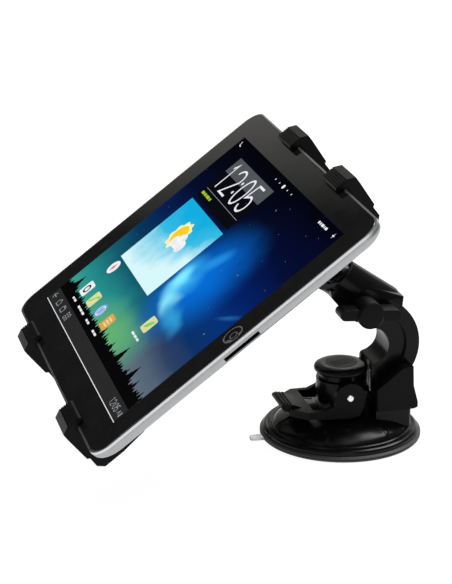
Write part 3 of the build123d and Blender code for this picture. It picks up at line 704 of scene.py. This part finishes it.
def draw_grey_marks(shapes):
    """Soft-key outlines at the left of the bar, and its small clock and marks at the right."""
    shapes.stroke([(-92.4, -71.4), (-98.0, -71.4)], 0.55)
    shapes.stroke([(-95.2, -69.2), (-97.7, -71.4), (-95.2, -73.6)], 0.55)
    house = [(-84.6, -73.4), (-84.6, -70.8), (-82.0, -68.8), (-79.4, -70.8), (-79.4, -73.4)]
    shapes.stroke(house, 0.55, True)
    shapes.stroke(rounded_box(-70.0, -71.8, 2.6, 1.7, 0.5, 3)[:-1], 0.55, True)
    shapes.stroke([(-72.0, -69.2), (-68.2, -69.2)], 0.45)
    for a, b in ((-58.6, -69.9), (-54.6, -69.9), (-58.6, -73.0), (-54.6, -73.0)):
        shapes.stroke(rounded_box(a, b, 1.1, 0.95, 0.3, 2)[:-1], 0.45, True)
    write_time(shapes, left=77.8, foot=-73.6, wide=2.7, tall=4.2, gap=0.9, line=0.5)
    shapes.stroke([(95.6, -72.8), (97.0, -70.2), (98.4, -72.8)], 0.5)
    shapes.patch(rounded_box(100.2, -71.6, 0.6, 1.7, 0.25, 2))


OUTLINE_STEPS = 72
CLOUD_LUMPS = ((-1.15, 0.25, 0.75), (-0.2, 0.75, 0.95), (0.95, 0.3, 0.8))


def turn_steps():
    return [2 * math.pi * k / OUTLINE_STEPS for k in range(OUTLINE_STEPS)]


def sun_outline(cu, cv, size, wave, rays=9):
    """A disc with a wavy rim."""
    return [(cu + (size + wave * math.cos(rays * t)) * math.cos(t),
             cv + (size + wave * math.cos(rays * t)) * math.sin(t)) for t in turn_steps()]


def cloud_outline(cu, cv, size):
    """Three soft lumps on a flat foot."""
    path = []
    for angle in turn_steps():
        direction = (math.cos(angle), math.sin(angle))
        reach = 0.0
        for a, b, r in CLOUD_LUMPS:
            along = a * direction[0] + b * direction[1]
            off = a * a + b * b - along * along
            if off < r * r:
                reach = max(reach, along + math.sqrt(r * r - off))
        if direction[1] < -0.05:
            reach = min(max(reach, 0.4), 0.5 / -direction[1])
        reach = max(reach, 0.3)
        path.append((cu + size * reach * direction[0], cv + size * reach * direction[1]))
    return path


def draw_icon(shapes, name, a, b):
    if name == "compass":
        shapes.patch([(a - 1.3, b), (a, b - 3.6), (a + 1.3, b), (a, b + 3.6)])
    elif name == "lens":
        shapes.stroke(ring_path(a, b - 0.2, 2.6, 2.6, 24), 1.3, True)
    elif name == "map":
        road = [(a - 4.0, b - 3.4), (a - 1.0, b - 0.6), (a + 0.8, b + 2.4), (a + 4.0, b + 3.4)]
        shapes.stroke(road, 1.5)
    elif name == "globe":
        shapes.stroke(ring_path(a, b, 3.7, 3.7, 28), 0.6, True)
        shapes.stroke(ring_path(a, b, 1.5, 3.0, 24), 0.5, True)
    elif name == "notes":
        for level in (2.4, 0.2, -2.0):
            shapes.patch(rounded_box(a, b + level, 3.3, 0.55, 0.3, 3))
    else:
        shapes.patch([(a - 3.2, b - 3.2)] + arc(a + 3.2, b - 3.2, 6.4, 6.4, 180, 90, 10)[1:]
                     + arc(a - 3.2, b + 3.2, 6.4, 6.4, 0, -90, 10)[1:-1])


ICONS = (                          # name, centre, ground, mark
    ("compass", -70.4, -32.6, WHITE_LIGHT, RED_LIGHT),
    ("lens", -70.4, ICON_ROW, WHITE_LIGHT, BAR_LIGHT),
    ("map", -50.0, ICON_ROW, YELLOW_LIGHT, LEAF_LIGHT),
    ("globe", -29.6, ICON_ROW, BLUE_LIGHT, WHITE_LIGHT),
    ("notes", -9.6, ICON_ROW, ORANGE_LIGHT, YELLOW_LIGHT),
    ("leaf", 31.4, -33.4, YELLOW_LIGHT, LEAF_LIGHT),
)


def make_picture():
    """The picture on the display, from the sky up to the marks on the icons."""
    show("picture_sky", 0, night_sky(), draw_sky)
    show("picture_trees", 1, BLACK_LIGHT, draw_trees)
    show("picture_stars", 1, STAR_LIGHT, draw_stars)
    show("key_bar", 0, BAR_LIGHT, lambda s: s.box(LEFT, RIGHT, BAR_TOP, BAR_FOOT))
    show("clock_card", 1, CARD_LIGHT, lambda s: s.box(CLOCK_LEFT, CLOCK_RIGHT, 54.58, 32.6))
    show("clock_band", 1, BAND_LIGHT, lambda s: s.box(CLOCK_LEFT, CLOCK_RIGHT, 66.6, 54.6))
    show("clock_line", 2, GREY_LIGHT, lambda s: s.box(-74.6, -5.4, 40.2, 39.9))
    show("clock_note", 2, GREEN_LIGHT, lambda s: dashes(s, -74.6, 36.4, (5.0, 3.2, 6.0, 2.6), 2.0))
    show("weather_card", 1, day_sky(), lambda s: s.box(-77.0, -2.4, 29.4, -25.4))
    show("sun_halo", 2, HALO_LIGHT, lambda s: s.patch(sun_outline(-43.6, 9.6, 10.0, 0.9)))
    show("sun_disc", 3, SUN_LIGHT, lambda s: s.patch(ring_path(-43.6, 9.9, 7.2, 7.2, 40)))
    show("cloud_mark", 4, CLOUD_LIGHT, lambda s: s.patch(cloud_outline(-34.5, 4.0, 5.6)))
    show("marks_white", 2, WHITE_LIGHT, draw_white_marks)
    show("marks_grey", 1, GREY_LIGHT, draw_grey_marks)
    for name, a, b, ground, mark in ICONS:
        if name in ("compass", "globe"):
            outline = ring_path(a, b, ICON_HALF, ICON_HALF, 32)
        else:
            outline = rounded_box(a, b, 5.4, ICON_HALF, 1.6)
        show("icon_" + name, 2, ground, lambda s: s.patch(outline))
        show("icon_" + name + "_mark", 3, mark, lambda s: draw_icon(s, name, a, b))


make_picture()


# ---------------------------------------------------------------- other small work on the tablet
HOME_RINGS = (                     # name, radius, line, lowest, highest
    ("home_ring", 2.3, 0.5, -0.80, -0.68),
    ("home_rim", 5.85, 0.75, -0.30, -0.21),
)


def home_rings():
    """A plain ring printed in the home button's dish, and the grey rim around the dish."""
    centre_u = middle("home_button", U) - GLASS @ U
    centre_v = middle("home_button", V) - GLASS @ V
    for name, radius, line, low, high in HOME_RINGS:
        shapes = Flat()
        shapes.stroke(ring_path(centre_u / MM, centre_v / MM, radius, radius, 56), line, True)
        piece = shapes.build(name, low, high, MATERIALS["ring_print"])
        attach(piece, "home_button")


home_rings()


GASKET_INSET, GASKET_CORNER, GASKET_WIDTH = 0.4, 10.9, 1.0
GASKET_LOW, GASKET_HIGH = -1.80, -1.45


def gasket():
    """The dark joint between the bright trim and the case."""
    low_u, high_u = extent("rear_shell", U)
    low_v, high_v = extent("rear_shell", V)
    half_u, half_v = (high_u - low_u) / 2 / MM, (high_v - low_v) / 2 / MM
    shapes = Flat()
    path = rounded_box(0, 0, half_u - GASKET_INSET, half_v - GASKET_INSET, GASKET_CORNER, 12)[:-1]
    shapes.stroke(path, GASKET_WIDTH, True)
    piece = shapes.build("case_gasket", GASKET_LOW, GASKET_HIGH, MATERIALS["dark_gasket"])


gasket()


# ---------------------------------------------------------------- floor and light
def plain_sheet(name, corners, material):
    mesh = bpy.data.meshes.new(name)
    mesh.from_pydata(corners, [], [(0, 1, 2, 3)])
    sheet = bpy.data.objects.new(name, mesh)
    bpy.context.scene.collection.objects.link(sheet)
    mesh.materials.append(material)
    return sheet


FLOOR_HALF, FLOOR_Z = 8.0, -0.0002
FLOOR_GLOW = 0.95                  # keeps the floor white without bright lights on the mount
WORLD_LIGHT = 0.22
CARD_X, CARD_Y, CARD_Z = -0.9, (-1.4, 1.2), (0.02, 1.3)
LIGHTS = (                         # name, place, target, size, watts
    ("overhead", (0.25, -0.15, 1.5), (0.0, -0.03, 0.05), (1.1, 1.1), 9),
    ("dome_sheen", (-0.5, 0.78, 1.5), (0.03, 0.0, 0.01), (0.7, 0.9), 24),
    ("front", (0.9, -1.3, 0.9), (0.0, -0.05, 0.08), (0.7, 0.7), 5),
)


def make_floor():
    shader = Shader("floor_white")
    shader.base(shader.mix(shader.noise(3.0), (0.145, 0.145, 0.145), (0.155, 0.155, 0.155)))
    shader.shine((1.0, 1.0, 1.0))
    shader.set(roughness=0.9, specular=0.1, emission=FLOOR_GLOW)
    corners = ((-1, -1), (1, -1), (1, 1), (-1, 1))
    plain_sheet("floor", [(FLOOR_HALF * x, FLOOR_HALF * y, FLOOR_Z) for x, y in corners],
                shader.material)


def make_side_card():
    """A tall card beyond the holder that gives the glass its sheen.

    The camera does not see it, and its light rises in two steps towards +Y.
    """
    shader = Shader("card_light")
    split = shader.node("SeparateXYZ")
    shader.link(shader.coord, split.inputs[0])
    along = shader.math("MULTIPLY_ADD", split.outputs["Z"], -0.3, split.outputs["Y"])
    first_step = shader.spread(along, 0.03, 0.48, -0.40, -0.275)
    second_step = shader.spread(along, 0.0, 0.5, 0.0, 0.12)
    shader.base((0.0, 0.0, 0.0))
    shader.shine((1.0, 0.985, 0.95))
    shader.set(specular=0.0)
    level = shader.math("ADD", first_step, second_step)
    shader.link(level, shader.bsdf.inputs["Emission Strength"])
    places = ((0, 0), (1, 0), (1, 1), (0, 1))
    card = plain_sheet("side_card", [(CARD_X, CARD_Y[y], CARD_Z[z]) for y, z in places],
                       shader.material)
    card.visible_camera = False


def area_light(name, place, target, size, power):
    data = bpy.data.lights.new(name, "AREA")
    data.shape = "RECTANGLE"
    data.size, data.size_y = size
    data.energy = power
    light = bpy.data.objects.new(name, data)
    light.location = place
    light.rotation_euler = (Vector(target) - Vector(place)).to_track_quat("-Z", "Y").to_euler()
    bpy.context.scene.collection.objects.link(light)


def make_world():
    world = bpy.data.worlds.new("studio")
    bpy.context.scene.world = world
    world.use_nodes = True
    background = world.node_tree.nodes["Background"]
    background.inputs["Color"].default_value = (1.0, 1.0, 1.0, 1.0)
    background.inputs["Strength"].default_value = WORLD_LIGHT


make_floor()
make_side_card()
make_world()
for name, place, target, size, power in LIGHTS:
    area_light(name, place, target, size, power)
bpy.context.scene.view_settings.view_transform = "Standard"
